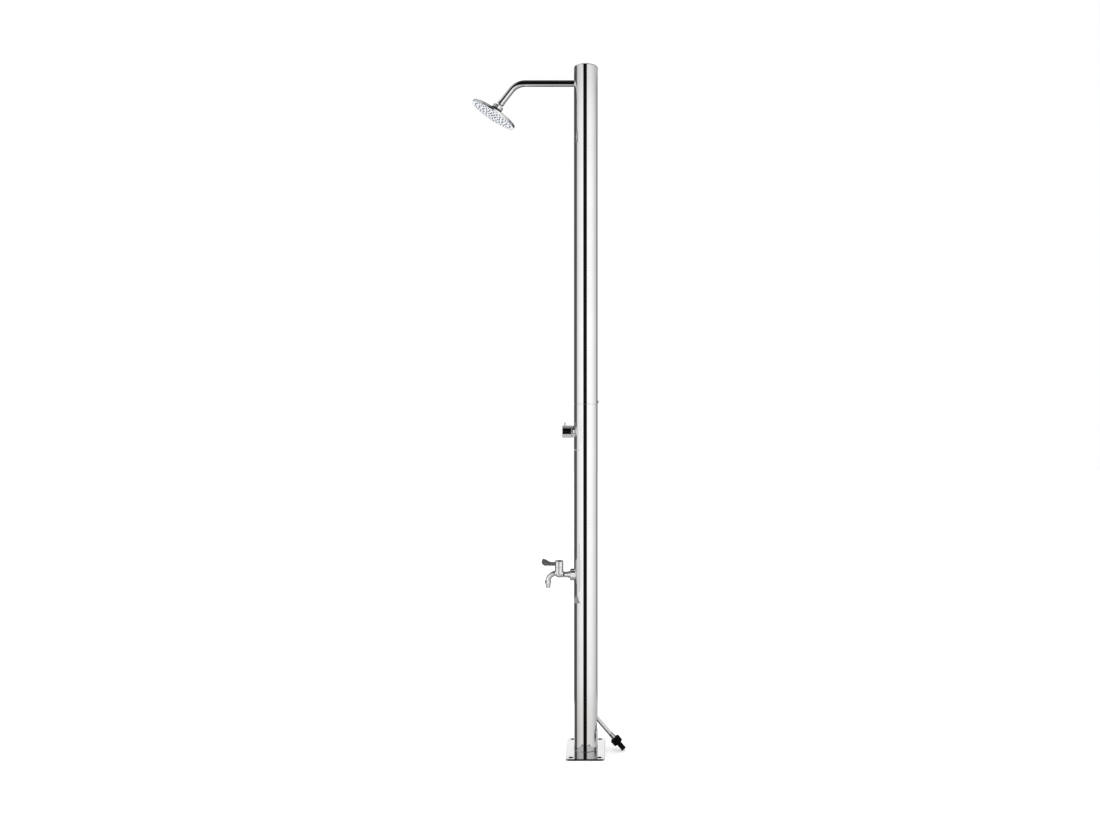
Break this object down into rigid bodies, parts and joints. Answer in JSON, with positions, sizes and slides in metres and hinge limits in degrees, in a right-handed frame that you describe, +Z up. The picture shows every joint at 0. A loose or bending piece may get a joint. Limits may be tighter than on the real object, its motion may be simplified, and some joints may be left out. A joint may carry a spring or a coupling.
{
  "type": "outdoor shower post",
  "caption": "Free-standing outdoor shower post on a bolt-down plate, with an angled rain head, a turn knob, a lever foot tap and a side hose inlet.",
  "frame": {"origin": "centre of the base plate's underside, at the middle of its four anchor holes", "axes": "+Z up the post, -X towards the shower arm, knob and foot tap, +X towards the inlet hose"},
  "size_m": [0.4925, 0.2, 2.1965],
  "materials": {
    "polished_steel": "mirror polished stainless steel",
    "chrome": "polished chrome plate",
    "brass": "turned brass",
    "steel_braid": "woven stainless wire braid",
    "black_plastic": "moulded, fine satin",
    "dark_grip": "dark grey moulded grip",
    "white_nylon": "moulded",
    "black_rubber": "moulded rubber",
    "grey_silicone": "soft silicone"
  },
  "bodies": {
    "post": {"base_plate": "polished_steel", "foot_weld": "polished_steel", "lower_post": "polished_steel", "upper_post": "polished_steel", "joint_sleeve": "polished_steel", "joint_screws": "polished_steel", "top_cap": "polished_steel", "cap_o_ring": "black_rubber", "shower_arm": "polished_steel", "arm_elbow": "brass", "head_ball": "chrome", "arm_washer": "black_rubber", "valve_body": "brass", "valve_washer": "black_rubber", "valve_escutcheon": "chrome", "valve_cartridge": "brass", "tap_body": "chrome", "tap_flange": "chrome", "tap_washer": "black_rubber", "tap_locknut": "brass", "supply_tee": "brass", "tap_cartridge": "brass", "tap_nozzle": "chrome", "feed_hose": "steel_braid", "feed_hose_nuts": "chrome", "riser_hose": "steel_braid", "riser_hose_nuts": "chrome", "inlet_hose_nut": "chrome", "inlet_hose": "steel_braid", "hose_ferrule": "chrome", "hose_tail": "chrome", "adapter_washer": "black_rubber", "adapter_nut": "black_plastic", "adapter_nose": "black_plastic", "adapter_o_ring": "black_rubber"},
    "valve_knob": {"knob": "polished_steel", "knob_pin": "polished_steel", "knob_grub_screw": "polished_steel", "valve_spindle": "brass"},
    "tap_handle": {"tap_hub": "chrome", "tap_hub_cap": "chrome", "tap_hub_screw": "polished_steel", "tap_lever": "dark_grip", "tap_spindle": "brass"},
    "head_liner": {"ball_liner": "white_nylon"},
    "head_seat": {"seat_ring": "white_nylon"},
    "shower_head": {"collar_nut": "chrome", "neck_ring": "black_rubber", "ball_seal": "black_rubber", "filter_screen": "steel_braid", "head_shell": "polished_steel", "face_plate": "polished_steel", "nozzle_mat": "grey_silicone"}
  },
  "joints": [
    {"name": "knob_turn", "type": "hinge", "parent": "post", "child": "valve_knob", "pos_m": [-0.06, 0, 1.0246], "axis": [-1, 0, 0], "range_deg": [0, 90]},
    {"name": "tap_lever_turn", "type": "hinge", "parent": "post", "child": "tap_handle", "pos_m": [-0.086, 0, 0.6], "axis": [0, 0, 1], "range_deg": [0, 90]},
    {"name": "head_tilt", "type": "hinge", "parent": "post", "child": "head_liner", "pos_m": [-0.285, 0, 2.0646], "axis": [0, 1, 0], "range_deg": [-9, 15]},
    {"name": "head_sway", "type": "hinge", "parent": "head_liner", "child": "head_seat", "pos_m": [-0.285, 0, 2.0646], "axis": [-0.8545, 0, 0.5195], "range_deg": [-10, 10]},
    {"name": "head_spin", "type": "hinge", "parent": "head_seat", "child": "shower_head", "pos_m": [-0.285, 0, 2.0646], "axis": [-0.5195, 0, -0.8545], "continuous": true}
  ]
}
